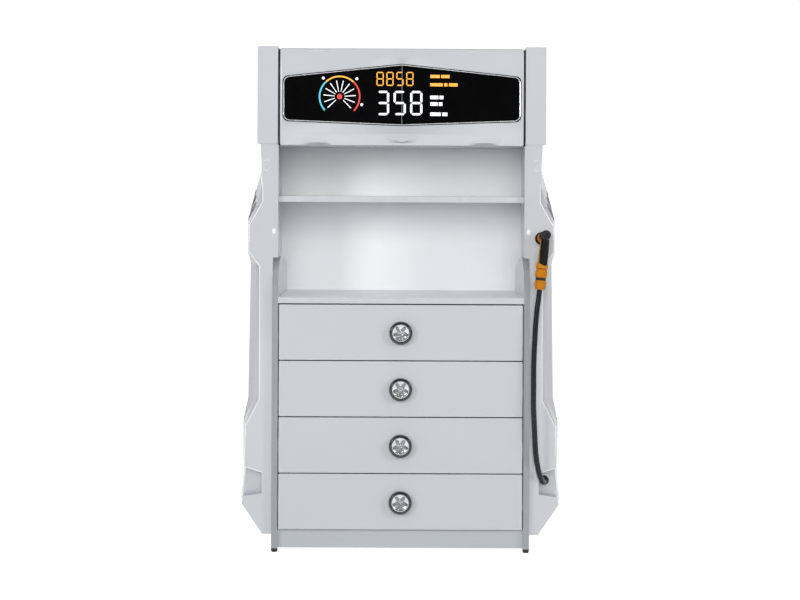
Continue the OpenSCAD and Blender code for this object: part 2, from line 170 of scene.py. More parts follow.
def loft(name, rings, smooth=True, caps=True):
    """A closed skin through rings of equal length."""
    columns = len(rings[0])
    points = [p for ring in rings for p in ring]
    faces = ring_faces(len(rings), columns)
    if caps:
        last = (len(rings) - 1) * columns
        faces.append(tuple(range(columns - 1, -1, -1)))
        faces.append(tuple(range(last, last + columns)))
    return new_object(name, points, faces, smooth)


def basis(axis):
    """Two directions across an axis."""
    axis = Vector(axis).normalized()
    side = Vector((1, 0, 0)) - axis * axis.x
    if side.length < 0.1:
        side = Vector((0, 0, 1)) - axis * axis.z
    side.normalize()
    return side, axis.cross(side)


def lathe(name, profile, origin, axis, segments=64, shape=None):
    """A turned piece: profile is (distance along the axis, radius) pairs."""
    u, v = basis(axis)
    w = Vector(axis).normalized()
    rings = []
    for along, radius in profile:
        ring = []
        for angle in circle(segments):
            r = radius if shape is None else radius + shape(along, angle)
            spoke = u * cos(angle) + v * sin(angle)
            ring.append(Vector(origin) + w * along + spoke * r)
        rings.append(ring)
    return loft(name, rings)


def quarter(steps):
    """The angles of a quarter turn, both ends included."""
    return [pi / 2 * k / steps for k in range(steps + 1)]


def rounded_profile(length, radius, edge, start):
    """(along, radius) pairs of a cylinder whose two rims are rounded."""
    end = start + length
    pairs = [(start, radius * TINY_SHARE)]
    for a in quarter(ROUND_STEPS):
        pairs.append((start + edge - edge * cos(a), radius - edge + edge * sin(a)))
    for a in quarter(ROUND_STEPS):
        pairs.append((end - edge + edge * sin(a), radius - edge + edge * cos(a)))
    pairs.append((end, radius * TINY_SHARE))
    return pairs


def spline(points, share):
    """A Catmull-Rom line through the points."""
    line = []
    last = len(points) - 1
    for i in range(last):
        a = Vector(points[max(i - 1, 0)])
        b = Vector(points[i])
        c = Vector(points[i + 1])
        d = Vector(points[min(i + 2, last)])
        for step in range(share):
            t = step / share
            line.append(0.5 * (2 * b + (c - a) * t + (2 * a - 5 * b + 4 * c - d) * t * t
                               + (3 * b - a - 3 * c + d) * t ** 3))
    line.append(Vector(points[last]))
    return line


def sweep(name, path, radius, sides):
    """A tube along a path."""
    rings = []
    for i, point in enumerate(path):
        heading = (path[min(i + 1, len(path) - 1)] - path[max(i - 1, 0)]).normalized()
        u, v = basis(heading)
        rings.append(round_ring(point, u, v, radius, sides))
    return loft(name, rings)


def add_bevel(obj, width, segments=3, angle=28, weld=False):
    """Rounds the sharp edges of a piece, and welds an imported mesh first."""
    if weld:
        obj.modifiers.new("weld", "WELD").merge_threshold = WELD_DISTANCE
    bevel = obj.modifiers.new("bevel", "BEVEL")
    bevel.width = width
    bevel.segments = segments
    bevel.limit_method = "ANGLE"
    bevel.angle_limit = radians(angle)
    bevel.harden_normals = True
    bevel.use_clamp_overlap = True


def paint(obj, finish_name, body=None):
    """Puts a finish on a piece in its one material slot, and lets it ride on a body."""
    obj.data.materials.clear()
    obj.data.materials.append(MATERIALS[finish_name])
    if body is not None:
        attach(obj, body)


# ---- camera ----

CAMERA_DISTANCE = 5.0
CAMERA_HEIGHT = 1.068
CAMERA_LENS = 76.0
CAMERA_SENSOR = 36.0
CAMERA_ROLL = 0.26
CAMERA_SHIFT = (-0.0019, -0.135)


def add_camera():
    """Level camera in front of the middle, framed low with lens shift."""
    data = bpy.data.cameras.new("camera")
    data.lens = CAMERA_LENS
    data.sensor_width = CAMERA_SENSOR
    data.shift_x, data.shift_y = CAMERA_SHIFT
    data.clip_end = 60
    camera = bpy.data.objects.new("camera", data)
    camera.location = (0, Y_FRONT - CAMERA_DISTANCE, CAMERA_HEIGHT)
    camera.rotation_euler = (pi / 2, radians(-CAMERA_ROLL), 0)
    bpy.context.scene.collection.objects.link(camera)
    bpy.context.scene.camera = camera


# ---- materials ----

NOISE_SPAN = (0.3, 0.7)
WEAR_SPAN = (0.52, 0.62)
BUMP_DISTANCE = 0.001
COAT_ROUGHNESS = 0.06


def add_glow(material, colour, strength):
    """Lets a finished material shine a little of itself."""
    node = material.node_tree.nodes["Principled BSDF"]
    node.inputs["Emission Color"].default_value = (*colour, 1)
    node.inputs["Emission Strength"].default_value = strength


def add_noise(tree, scale, detail, stretch):
    """Noise in object coordinates."""
    place = tree.nodes.new("ShaderNodeTexCoord")
    mapping = tree.nodes.new("ShaderNodeMapping")
    mapping.inputs["Scale"].default_value = stretch
    noise = tree.nodes.new("ShaderNodeTexNoise")
    noise.inputs["Scale"].default_value = scale
    noise.inputs["Detail"].default_value = detail
    tree.links.new(place.outputs["Object"], mapping.inputs["Vector"])
    tree.links.new(mapping.outputs["Vector"], noise.inputs["Vector"])
    return noise.outputs["Fac"]


def add_ramp(tree, source, low, high):
    """Turns a noise value into a colour between low and high."""
    ramp = tree.nodes.new("ShaderNodeValToRGB")
    for stop, at, colour in zip(ramp.color_ramp.elements, NOISE_SPAN, (low, high)):
        stop.position = at
        stop.color = (*colour, 1)
    tree.links.new(source, ramp.inputs["Fac"])
    return ramp.outputs["Color"]


def add_range(tree, source, span, result):
    """Turns a value within a span into one within another."""
    remap = tree.nodes.new("ShaderNodeMapRange")
    for key, value in zip(("From Min", "From Max", "To Min", "To Max"), (*span, *result)):
        remap.inputs[key].default_value = value
    tree.links.new(source, remap.inputs["Value"])
    return remap.outputs["Result"]


def add_mix(tree, factor, colour):
    """A mix of a colour with another one, B, that is set afterwards."""
    mix = tree.nodes.new("ShaderNodeMix")
    mix.data_type = "RGBA"
    tree.links.new(factor, mix.inputs["Factor"])
    tree.links.new(colour, mix.inputs["A"])
    return mix


def add_math(tree, operation, source, value=0.0):
    """One step of arithmetic on a value."""
    step = tree.nodes.new("ShaderNodeMath")
    step.operation = operation
    step.inputs[1].default_value = value
    tree.links.new(source, step.inputs[0])
    return step.outputs["Value"]


def add_bump(tree, shader_node, source, strength):
    """Bump from a value."""
    bump = tree.nodes.new("ShaderNodeBump")
    bump.inputs["Strength"].default_value = strength
    bump.inputs["Distance"].default_value = BUMP_DISTANCE
    tree.links.new(source, bump.inputs["Height"])
    tree.links.new(bump.outputs["Normal"], shader_node.inputs["Normal"])


def add_wear(tree, colour, worn, amount):
    """Lightens the colour along convex edges."""
    geometry = tree.nodes.new("ShaderNodeNewGeometry")
    factor = add_range(tree, geometry.outputs["Pointiness"], WEAR_SPAN, (0.0, amount))
    mix = add_mix(tree, factor, colour)
    mix.inputs["B"].default_value = (*worn, 1)
    return mix.outputs["Result"]


def finish(name, dark, light, roughness, metallic=0.0, coat=0.0, mottle=20.0, grain=900.0,
           bump=0.01, stretch=(1, 1, 1), worn=None, wear=0.3, specular=0.5):
    """A surface with mottled colour, varied roughness and a fine grain."""
    material = bpy.data.materials.new(name)
    material.use_nodes = True
    tree = material.node_tree
    node = tree.nodes["Principled BSDF"]
    middle = tuple((a + b) / 2 for a, b in zip(dark, light))
    for key, value in (("Base Color", (*middle, 1)), ("Roughness", sum(roughness) / 2),
                       ("Metallic", metallic), ("Coat Weight", coat),
                       ("Coat Roughness", COAT_ROUGHNESS), ("Specular IOR Level", specular)):
        node.inputs[key].default_value = value
    colour = add_ramp(tree, add_noise(tree, mottle, 4.0, stretch), dark, light)
    if worn is not None:
        colour = add_wear(tree, colour, worn, wear)
    tree.links.new(colour, node.inputs["Base Color"])
    smear = add_noise(tree, mottle * 5, 5.0, stretch)
    tree.links.new(add_range(tree, smear, NOISE_SPAN, roughness), node.inputs["Roughness"])
    add_bump(tree, node, add_noise(tree, grain, 2.0, stretch), bump)
    return material


def banded(name, face, band, roughness, upright):
    """A board with a band of another tone on its front, or on every edge if upright."""
    material = finish(name, *face, roughness, mottle=6.0, bump=0.04)
    tree = material.node_tree
    node = tree.nodes["Principled BSDF"]
    geometry = tree.nodes.new("ShaderNodeNewGeometry")
    parts = tree.nodes.new("ShaderNodeSeparateXYZ")
    tree.links.new(geometry.outputs["True Normal"], parts.inputs["Vector"])
    if upright:
        size = add_math(tree, "ABSOLUTE", parts.outputs["X"])
        on_band = add_math(tree, "LESS_THAN", size, 0.5)
    else:
        on_band = add_math(tree, "LESS_THAN", parts.outputs["Y"], -0.8)
    mix = add_mix(tree, on_band, node.inputs["Base Color"].links[0].from_socket)
    streak = add_noise(tree, 30.0, 3.0, (1, 1, 0.05))
    tree.links.new(add_ramp(tree, streak, *band), mix.inputs["B"])
    tree.links.new(mix.outputs["Result"], node.inputs["Base Color"])
    return material


FINISHES = {
    "white_board": ((0.62, 0.64, 0.67), (0.66, 0.68, 0.71), (0.30, 0.36),
                    {"mottle": 3.0}),
    "drawer_face": ((0.54, 0.56, 0.59), (0.565, 0.585, 0.615), (0.30, 0.32),
                    {"coat": 0.05, "bump": 0.008, "mottle": 0.8}),
    # The kick board's finish is darker than the white boards: painted shade for the shadow under
    # the drawers' overhang.
    "kick_painted_shade": ((0.45, 0.475, 0.50), (0.48, 0.505, 0.53), (0.32, 0.38),
                  {"mottle": 2.0}),
    "back_hardboard": ((0.80, 0.81, 0.82), (0.85, 0.86, 0.87), (0.45, 0.6),
                       {"grain": 600.0, "bump": 0.08, "mottle": 4.0}),
    "shell_plastic": ((0.545, 0.56, 0.59), (0.56, 0.575, 0.605), (0.16, 0.22),
                      {"coat": 0.4, "grain": 160.0, "bump": 0.008, "mottle": 4.0}),
    # Bright white for painted highlights: the shells' edge bead and the pillar pads.
    "highlight_white": ((0.90, 0.90, 0.92), (0.94, 0.94, 0.95), (0.10, 0.16),
                  {"coat": 0.6, "grain": 300.0}),
    # Lighter than the shell: the painted highlight on the ring of each pillar mark.
    "painted_lit_white": ((0.68, 0.70, 0.73), (0.72, 0.74, 0.77), (0.12, 0.18),
                   {"coat": 0.5, "grain": 300.0}),
    "display_film": ((0.0006, 0.0006, 0.0008), (0.0014, 0.0014, 0.0018), (0.14, 0.22),
                     {"grain": 200.0, "mottle": 8.0, "specular": 0.08}),
    "black_plastic": ((0.005, 0.005, 0.006), (0.010, 0.010, 0.011), (0.30, 0.45),
                      {"grain": 800.0, "bump": 0.12, "mottle": 40.0, "specular": 0.35,
                       "worn": (0.04, 0.04, 0.045), "wear": 0.5}),
    "zinc_steel": ((0.52, 0.53, 0.55), (0.66, 0.67, 0.69), (0.24, 0.40),
                   {"metallic": 1.0, "grain": 500.0, "bump": 0.06, "mottle": 30.0,
                    "stretch": (1, 0.1, 1)}),
    "hose_rubber": ((0.002, 0.004, 0.006), (0.007, 0.013, 0.018), (0.20, 0.30),
                    {"grain": 700.0, "bump": 0.06, "mottle": 25.0, "specular": 0.25}),
    "knob_rubber": ((0.006, 0.006, 0.007), (0.012, 0.012, 0.013), (0.18, 0.30),
                    {"coat": 0.3, "grain": 600.0, "bump": 0.08, "mottle": 50.0,
                     "worn": (0.05, 0.05, 0.05), "wear": 0.4}),
    # The display bead's bright silver is a painted highlight.
    "bead_highlight_silver": ((0.72, 0.73, 0.76), (0.82, 0.83, 0.86), (0.20, 0.30),
                    {"metallic": 0.6, "bump": 0.02, "mottle": 30.0}),
    "knob_silver": ((0.50, 0.51, 0.53), (0.60, 0.61, 0.63), (0.18, 0.28),
                    {"metallic": 0.9, "bump": 0.03, "mottle": 50.0,
                     "worn": (0.8, 0.8, 0.8)}),
    "yellow_plastic": ((0.50, 0.18, 0.001), (0.58, 0.22, 0.002), (0.34, 0.46),
                       {"grain": 500.0, "bump": 0.05, "mottle": 60.0, "specular": 0.15,
                        "worn": (0.80, 0.42, 0.02)}),
    "soft_grip": ((0.004, 0.004, 0.005), (0.009, 0.009, 0.010), (0.34, 0.50),
                  {"grain": 1400.0, "bump": 0.25, "mottle": 80.0, "specular": 0.12,
                   "worn": (0.02, 0.02, 0.023), "wear": 0.4}),
    "stripe_ink": ((0.012, 0.012, 0.014), (0.022, 0.022, 0.026), (0.3, 0.45),
                   {"grain": 300.0, "bump": 0.04}),
    "stripe_core": ((0.40, 0.42, 0.46), (0.48, 0.50, 0.54), (0.3, 0.45),
                    {"grain": 300.0, "bump": 0.04}),
}


def make_materials():
    """Every finish, gathered by its name."""
    for name, (dark, light, roughness, settings) in FINISHES.items():
        MATERIALS[name] = finish(name, dark, light, roughness, **settings)
    # The deck and shelf tops are painted much lighter than their front band: painted light and
    # sheen on the tops; the band is the board's plain tone.
    MATERIALS["deck_painted_light"] = banded(
        "deck_painted_light", ((0.82, 0.84, 0.87), (0.86, 0.88, 0.91)),
        ((0.54, 0.56, 0.585), (0.58, 0.60, 0.625)), (0.30, 0.36), upright=False)
    MATERIALS["edge_banded_board"] = banded(
        "edge_banded_board", ((0.66, 0.68, 0.71), (0.70, 0.72, 0.75)),
        ((0.29, 0.30, 0.32), (0.35, 0.36, 0.38)), (0.28, 0.38), upright=True)


# ---- hose ----

def add_hose():
    """The hanging hose, from the gland in the shell up to the nozzle's coupling."""
    path = spline(HOSE_ROUTE, HOSE_SHARE)
    hose = sweep("hose_tube", path, HOSE_R, HOSE_SIDES)
    paint(hose, "hose_rubber")
    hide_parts("hose")
    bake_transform(hose)


# ---- CAD pieces that keep their shape ----

def dress(node, finish_name, width, segments=3):
    """Finish and rounded edges on a carried-over CAD piece."""
    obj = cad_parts[node]
    add_bevel(obj, width, segments, weld=True)
    paint(obj, finish_name)


def dress_cabinet():
    """Boards, panels, shells, runners and fixings that don't move."""
    for node in ("base_board", "niche_ceiling", "top_board"):
        dress(node, "white_board", 0.0008)
    dress("kick_board", "kick_painted_shade", 0.0008)
    dress("deck_board", "deck_painted_light", 0.0010)
    dress("upper_shelf", "deck_painted_light", 0.0010)
    for side in ("left", "right"):
        dress("outer_side_" + side, "white_board", 0.0008)
        dress("lower_panel_" + side, "edge_banded_board", 0.0012)
        dress("side_shell_" + side, "shell_plastic", 0.0046, segments=5)
    dress("back_panel", "back_hardboard", 0.0005)
    dress("glide_feet", "black_plastic", 0.0010)
    dress("shelf_pins", "zinc_steel", 0.0004)
    dress("cabinet_runners", "zinc_steel", 0.0004, segments=2)
    dress("back_screws", "zinc_steel", 0.0004)
    dress("holster_sleeve", "black_plastic", 0.0008)
    dress("hose_gland", "black_plastic", 0.0008)


def dress_drawers():
    """The four drawer boxes."""
    for n in DRAWERS:
        name = "drawer_%d_" % n
        dress(name + "front", "drawer_face", 0.0022, 4)
        dress(name + "sides", "white_board", 0.0006)
        dress(name + "back", "white_board", 0.0006)
        dress(name + "bottom", "back_hardboard", 0.0004)
        dress(name + "runners", "zinc_steel", 0.0004, segments=2)


# ---- header ----

FACE_PROUD = 0.0015
CREASE_HIGH = 0.035
TIP_HALF = 0.062
SCOOP_XS = (-0.250, 0.245)
SCOOP_HALF = 0.042
NOTCH_XS = (-0.250, 0.205)
NOTCH_HALF = 0.036
# Outer edge of the black strips that paint shade into the header's side gaps.
GAP_SHADE_OUTER = 0.3668


def hollow(x, middles, half, power):
    """1 in the middle of a hollow, falling to 0 at its edge."""
    return sum(max(0.0, 1 - ((x - c) / half) ** power) for c in middles)


def header_section(x):
    """The header's outline in Y and Z at a station, rear bottom corner first."""
    share = 1 - abs(x) / X_HEADER
    bulge = FACE_PROUD + (PROW - FACE_PROUD) * share
    low = DISPLAY_LOW_END - 0.001 + (DISPLAY_LOW_MID - DISPLAY_LOW_END) * share
    high = DISPLAY_HIGH_END + 0.001 + (DISPLAY_HIGH_MID - DISPLAY_HIGH_END) * share
    tip = max(0.0, 1 - abs(x) / TIP_HALF)
    crease_z = HEADER_LOW + CREASE_HIGH
    crease_y = Y_HEADER - bulge * 0.25
    scoop = hollow(x, SCOOP_XS, SCOOP_HALF, 2)
    notch = hollow(x, NOTCH_XS, NOTCH_HALF, 4)
    return [
        (Y_HEADER_REAR, HEADER_LOW),
        (Y_HEADER + 0.006 + 0.010 * scoop, HEADER_LOW),
        (Y_HEADER + 0.0015 + 0.006 * scoop, HEADER_LOW + 0.0025 + 0.004 * scoop),
        (Y_HEADER, HEADER_LOW + 0.009 + 0.001 * scoop),
        (crease_y - 0.006 * tip + 0.0008, crease_z - 0.004 - 0.020 * tip),
        (crease_y, crease_z),
        (Y_HEADER - bulge, low),
        (Y_HEADER - bulge, high),
        (Y_HEADER - bulge * 0.3, HEADER_HIGH - 0.028),
        (Y_HEADER, HEADER_HIGH - 0.009 - 0.002 * notch),
        (Y_HEADER + 0.0015 + 0.002 * notch, HEADER_HIGH - 0.0025 - 0.002 * notch),
        (Y_HEADER + 0.006 + 0.004 * notch, HEADER_HIGH),
        (Y_HEADER_REAR, HEADER_HIGH),
    ]


def add_header():
    """The bowed header shell, with a round at each end and grip scoops along its edges."""
    round_r = 0.006
    count = 96
    start = -X_HEADER + round_r
    ends = [(start - round_r * cos(a), round_r - round_r * sin(a))
            for a in quarter(ROUND_STEPS)[:-1]]
    span = 2 * (X_HEADER - round_r)
    stations = ends + [(start + span * k / count, 0.0) for k in range(count + 1)]
    stations += [(-x, shrink) for x, shrink in reversed(ends)]
    middle_z = (HEADER_LOW + HEADER_HIGH) / 2
    rings = []
    for x, shrink in stations:
        ring = []
        for y, z in header_section(x):
            pull = shrink if y < Y_HEADER_REAR else 0.0
            ring.append(Vector((x, y + pull, z + copysign(shrink, middle_z - z))))
        rings.append(ring)
    header = loft("header_skin", rings)
    add_bevel(header, 0.0022, 3, 16)
    paint(header, "shell_plastic", "cabinet")
    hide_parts("header_shell")


def add_gap_shade_strips():
    """Black strips set back in the gaps between the header and the blocks beside it: painted shade
    that keeps the gaps dark.
    """
    steps = 8
    for side, name in ((-1, "left"), (1, "right")):
        inner = side * (X_HEADER + 0.0002)
        outer = side * GAP_SHADE_OUTER
        middle = (inner + outer) / 2
        rear = Y_HEADER_REAR - 0.010
        rings = []
        for z, inset in ((HEADER_LOW + 0.002, 0.002), (HEADER_LOW + 0.004, 0.0),
                         (HEADER_HIGH - 0.006, 0.0), (HEADER_HIGH - 0.004, 0.002)):
            ring = []
            for k in range(steps + 1):
                a = pi * k / steps
                ring.append(Vector((middle - (outer - inner) / 2 * cos(a),
                                    Y_HEADER + 0.006 + inset - 0.003 * sin(a), z)))
            ring.append(Vector((outer, rear, z)))
            ring.append(Vector((inner, rear, z)))
            rings.append(ring)
        shade_strip = loft("header_gap_shade_" + name, rings)
        paint(shade_strip, "soft_grip", "cabinet")


# ---- display ----

DISPLAY_CORNER = 0.018
FILM_T = 0.0018
LEAF_MIDDLE = (0.177, 1.354)
BEAD_INSET = 0.0036
BEAD_R = 0.0012
BEAD_SIDES = 8


def on_display(x, z, lift):
    """The point on the display's face at x and z."""
    share = min(1.0, abs(x) / DISPLAY_X)
    y = DISPLAY_FACE_MID + (DISPLAY_FACE_END - DISPLAY_FACE_MID) * share
    return Vector((x, y - lift, z))


def display_edges(x):
    """Lower and upper edge of the display at x."""
    share = abs(x) / DISPLAY_X
    low = DISPLAY_LOW_MID + (DISPLAY_LOW_END - DISPLAY_LOW_MID) * share
    high = DISPLAY_HIGH_MID + (DISPLAY_HIGH_END - DISPLAY_HIGH_MID) * share
    return low, high


def display_outline(inset=0.0):
    """The display's rounded outline as (x, z), once round."""
    corner = DISPLAY_CORNER
    middle = DISPLAY_X - inset - corner
    low, high = display_edges(middle)
    outline = []
    for side, up in ((1, -1), (1, 1), (-1, 1), (-1, -1)):
        edge = high - inset if up > 0 else low + inset
        turn = quarter(7)
        if side * up < 0:
            turn.reverse()
        for a in turn:
            outline.append((side * middle + side * corner * cos(a),
                            edge - up * corner + up * corner * sin(a)))
        if (side, up) == (1, 1):
            outline.append((0.0, display_edges(0)[1] - inset))
        if (side, up) == (-1, -1):
            outline.append((0.0, display_edges(0)[0] + inset))
    return outline


def add_plate(points, faces, corners, front, back, closed):
    """Adds a flat piece that reaches between two lifts off the display's face."""
    start = len(points)
    n = len(corners)
    points += [on_display(x, z, front) for x, z in corners]
    points += [on_display(x, z, back) for x, z in corners]
    faces.append(tuple(range(start, start + n)))
    if closed:
        faces.append(tuple(range(start + 2 * n - 1, start + n - 1, -1)))
    for j in range(n):
        k = (j + 1) % n
        faces.append((start + j, start + n + j, start + n + k, start + k))


def display_leaf(outline, side):
    """One half of an outline, in order round its middle."""
    middle_x = side * LEAF_MIDDLE[0]
    leaf = [p for p in outline if p[0] * side >= 0]
    return sorted(leaf, key=lambda p: atan2(p[1] - LEAF_MIDDLE[1], p[0] - middle_x))


def add_display():
    """The black glossy plate, in two leaves that meet on the ridge."""
    outline = display_outline()
    points = []
    faces = []
    for side in (1, -1):
        add_plate(points, faces, display_leaf(outline, side), 0.0, -FILM_T, closed=True)
    glass = new_object("display_glass", points, faces, smooth=False)
    add_bevel(glass, 0.0004, 2)
    paint(glass, "display_film", "cabinet")
    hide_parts("display_panel")


def add_display_bead():
    """A bright silver bead round the display: a painted highlight on the display's glossy black
    rim.
    """
    ring = [on_display(x, z, 0.0002) for x, z in display_outline(BEAD_INSET)]
    rear = Vector((0, 1, 0))
    rings = []
    n = len(ring)
    for i in range(n + 1):
        heading = (ring[(i + 1) % n] - ring[(i - 1) % n]).normalized()
        out = heading.cross(-rear).normalized()
        rings.append(round_ring(ring[i % n], out, rear, BEAD_R, BEAD_SIDES))
    bead = loft("display_bead", rings, caps=False)
    paint(bead, "bead_highlight_silver", "cabinet")


class Marks:
    """Thin raised marks on the display, gathered into one mesh."""

    proud = 0.0003
    sunk = 0.0001

    def __init__(self):
        self.points = []
        self.faces = []

    def patch(self, corners):
        """One flat shape, given by its corners anticlockwise as seen from the front."""
        add_plate(self.points, self.faces, corners, self.proud, -self.sunk, closed=False)

    def split(self, corners):
        """A shape that may cross the ridge, cut there so that it lies on both leaves."""
        for keep in (-1, 1):
            kept = []
            for (xa, za), (xb, zb) in zip(corners, corners[1:] + corners[:1]):
                if xa * keep >= 0:
                    kept.append((xa, za))
                if xa * xb < 0:
                    t = xa / (xa - xb)
                    kept.append((0.0, za + (zb - za) * t))
            if len(kept) > 2:
                self.patch(kept)

    def arc(self, centre, radius, width, start, end):
        """Part of a ring."""
        steps = 24
        for k in range(steps):
            a = radians(start + (end - start) * k / steps)
            b = radians(start + (end - start) * (k + 1) / steps)
            inner, outer = radius - width / 2, radius + width / 2
            self.patch([(centre[0] + r * cos(t), centre[1] + r * sin(t))
                        for r, t in ((inner, a), (outer, a), (outer, b), (inner, b))])

    def spoke(self, centre, inner, outer, width, angle):
        """A tapered ray."""
        a = radians(angle)
        along = (cos(a), sin(a))
        side = (-along[1], along[0])
        corners = []
        for r, w in ((inner, -0.35), (outer, -0.5), (outer, 0.5), (inner, 0.35)):
            corners.append((centre[0] + along[0] * r + side[0] * w * width,
                            centre[1] + along[1] * r + side[1] * w * width))
        self.patch(corners)

    def disc(self, centre, radius):
        """A round dot."""
        self.patch([(centre[0] + radius * cos(a), centre[1] + radius * sin(a))
                    for a in circle(20)])

    def bar(self, x0, x1, z0, z1):
        """A rectangle."""
        self.split([(x0, z0), (x1, z0), (x1, z1), (x0, z1)])

    def digit(self, x, z, width, height, stroke, lit):
        """A seven-segment digit; lit names its segments, a at the top and on clockwise."""
        gap = stroke * 0.20
        half = height / 2
        m = stroke / 2
        right = x + width - stroke
        level = {"a": z + height - m, "g": z + half, "d": z + m}
        for key, mid in level.items():
            if key in lit:
                self.split([(x + m + gap, mid), (x + stroke + gap, mid - m), (right - gap, mid - m),
                            (x + width - m - gap, mid), (right - gap, mid + m),
                            (x + stroke + gap, mid + m)])
        sides = {"f": (x, z + half), "e": (x, z), "b": (right, z + half), "c": (right, z)}
        for key, (left, bottom) in sides.items():
            if key in lit:
                top = bottom + half
                low = bottom + (m if key in "ec" else 0)
                high = top - (m if key in "fb" else 0)
                self.split([(left + m, low + gap), (left + stroke, low + m + gap),
                            (left + stroke, high - m - gap), (left + m, high - gap),
                            (left, high - m - gap), (left, low + m + gap)])

    def build(self, name, ink, colour, glow):
        """The piece in its ink with a painted glow, so that it reads on black."""
        obj = new_object(name, self.points, self.faces, smooth=False)
        light = tuple(min(1.0, c * 1.08) for c in colour)
        MATERIALS[name] = finish(ink, colour, light, (0.35, 0.5), grain=500.0, bump=0.03,
                                 mottle=40.0)
        add_glow(MATERIALS[name], colour, glow)
        paint(obj, name, "cabinet")


SEGMENTS = {"3": "abcdg", "5": "acdfg", "8": "abcdefg"}
GAUGE = (-0.1844, 1.3495)
GAUGE_R = 0.0595
GAUGE_BAND = 0.0046
GAUGE_HUB_R = 0.0078
RAY_COUNT = 12
RAY_FIRST = 223
RAY_TURN = 24.4
DOTS = ((0.073, 131.5), (0.073, 46), (0.0697, -20))
DOT_R = 0.0042
BARS_LEFT = 0.0835
ORANGE_ROWS = ((1.4050, (0.028, 0.025)), (1.3805, (0.037, 0.010, 0.026)))
ORANGE_BAR_H = 0.0095
ORANGE_BAR_GAP = 0.004
WHITE_ROWS = ((1.3425, 0.039), (1.3230, 0.036), (1.2930, 0.051))
WHITE_BAR_H = 0.0105
WHITE_BAR_CUT = (0.62, 0.70)
RIDGE_HALF = 0.0009


def mark_gauge(white, orange, red, cyan):
    """The round gauge: a band in three colours, rays, a hub and three dots."""
    cyan.arc(GAUGE, GAUGE_R, GAUGE_BAND, 223, 133)
    orange.arc(GAUGE, GAUGE_R, GAUGE_BAND, 132, 46)
    red.arc(GAUGE, GAUGE_R, GAUGE_BAND, 45, -45)
    for k in range(RAY_COUNT):
        white.spoke(GAUGE, 0.015, 0.048, 0.0029, RAY_FIRST - RAY_TURN * k)
    red.disc(GAUGE, GAUGE_HUB_R)
    for radius, angle in DOTS:
        a = radians(angle)
        white.disc((GAUGE[0] + radius * cos(a), GAUGE[1] + radius * sin(a)), DOT_R)


def mark_digits(white, orange):
    """A row of small digits over a row of large ones."""
    for k, sign in enumerate("8858"):
        orange.digit(-0.0755 + 0.0293 * k, 1.381, 0.0215, 0.0415, 0.0034, SEGMENTS[sign])
    for k, sign in enumerate("358"):
        white.digit(-0.0740 + 0.0492 * k, 1.2945, 0.0362, 0.0720, 0.0064, SEGMENTS[sign])


def mark_bars(white, orange):
    """Plain bars in rows."""
    for z, blocks in ORANGE_ROWS:
        x = BARS_LEFT
        for width in blocks:
            orange.bar(x, x + width, z, z + ORANGE_BAR_H)
            x += width + ORANGE_BAR_GAP
    first, second = WHITE_BAR_CUT
    for z, width in WHITE_ROWS:
        white.bar(BARS_LEFT, BARS_LEFT + width * first, z, z + WHITE_BAR_H)
        white.bar(BARS_LEFT + width * second, BARS_LEFT + width, z, z + WHITE_BAR_H)


def add_display_marks():
    """Gauge, digits and plain bars. The bars stand where the object carries words."""
    white, orange, red, cyan, ridge_glint = Marks(), Marks(), Marks(), Marks(), Marks()
    mark_gauge(white, orange, red, cyan)
    mark_digits(white, orange)
    mark_bars(white, orange)
    low, high = display_edges(0)
    # A thin grey line down the ridge: a painted highlight where the display's crease catches the
    # light.
    ridge_glint.bar(-RIDGE_HALF, RIDGE_HALF, low + 0.002, high - 0.002)
    white.build("display_marks_white", "painted_lit_white", (0.86, 0.87, 0.89), 0.35)
    orange.build("display_marks_orange", "mark_orange", (0.86, 0.42, 0.06), 0.30)
    red.build("display_marks_red", "mark_red", (0.72, 0.05, 0.04), 0.25)
    cyan.build("display_marks_cyan", "mark_cyan", (0.08, 0.55, 0.66), 0.25)
    ridge_glint.build("display_ridge_glint", "mark_ridge_glint", (0.16, 0.16, 0.17), 0.05)


# ---- wheel knobs ----

TREAD_BLOCKS = 36
TREAD_CUT = 0.0009
RIM_COLUMNS = 180
RIM_ROWS = 44
RIM_MOUTH = 0.0022
STUB_R = 0.010
STUB_DEPTH = 0.008


def add_tyre(n, centre):
    """A glossy tyre with a rounded shoulder and cut tread."""
    depth = KNOB_DEPTH
    profile = [
        (0.006, RIM_R - 0.001), (0.006, KNOB_R - 0.004), (0.0075, KNOB_R - 0.0012), (0.010, KNOB_R),
        (0.013, KNOB_R), (0.016, KNOB_R), (0.019, KNOB_R), (depth - 0.004, KNOB_R - 0.0004),
        (depth - 0.0022, KNOB_R - 0.0014), (depth - 0.0009, KNOB_R - 0.0032),
        (depth - 0.0001, KNOB_R - 0.0056), (depth - 0.0004, RIM_R + 0.0012),
        (depth - 0.0022, RIM_R), (depth - 0.006, RIM_R - 0.001), (0.006, RIM_R - 0.001),
    ]

    def tread(along, angle):
        on_tread = 0.009 < along < 0.0195
        cut = sin(angle * TREAD_BLOCKS) > 0.55
        return -TREAD_CUT if on_tread and cut else 0.0

    tyre = lathe("drawer_%d_tyre" % n, profile, centre, (0, -1, 0), 216, tread)
    paint(tyre, "knob_rubber", "drawer_%d" % n)
    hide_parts("drawer_%d_knob_tyre" % n)


def rim_height(r, angle):
    """Height of the rim's star face above its pocket floor."""
    if r >= RIM_R - RIM_MOUTH:
        return KNOB_DEPTH - RIM_MOUTH
    nearest = min(abs((angle - radians(270 + 72 * k) + pi) % TAU - pi)
                  for k in range(5))
    across = r * sin(min(nearest, pi / 2))
    share = r / RIM_R
    floor = KNOB_DEPTH - 0.0115 + 0.0055 * share ** 3
    half = 0.0058 - 0.0026 * share
    ridge = KNOB_DEPTH - 0.0048 + 0.0018 * share - 0.006 * max(0.0, 1 - share * 3.2)
    if across < half:
        return ridge - 0.0042 * across / half
    fade = min(1.0, (across - half) / 0.0014)
    return (ridge - 0.0042) * (1 - fade) + floor * fade


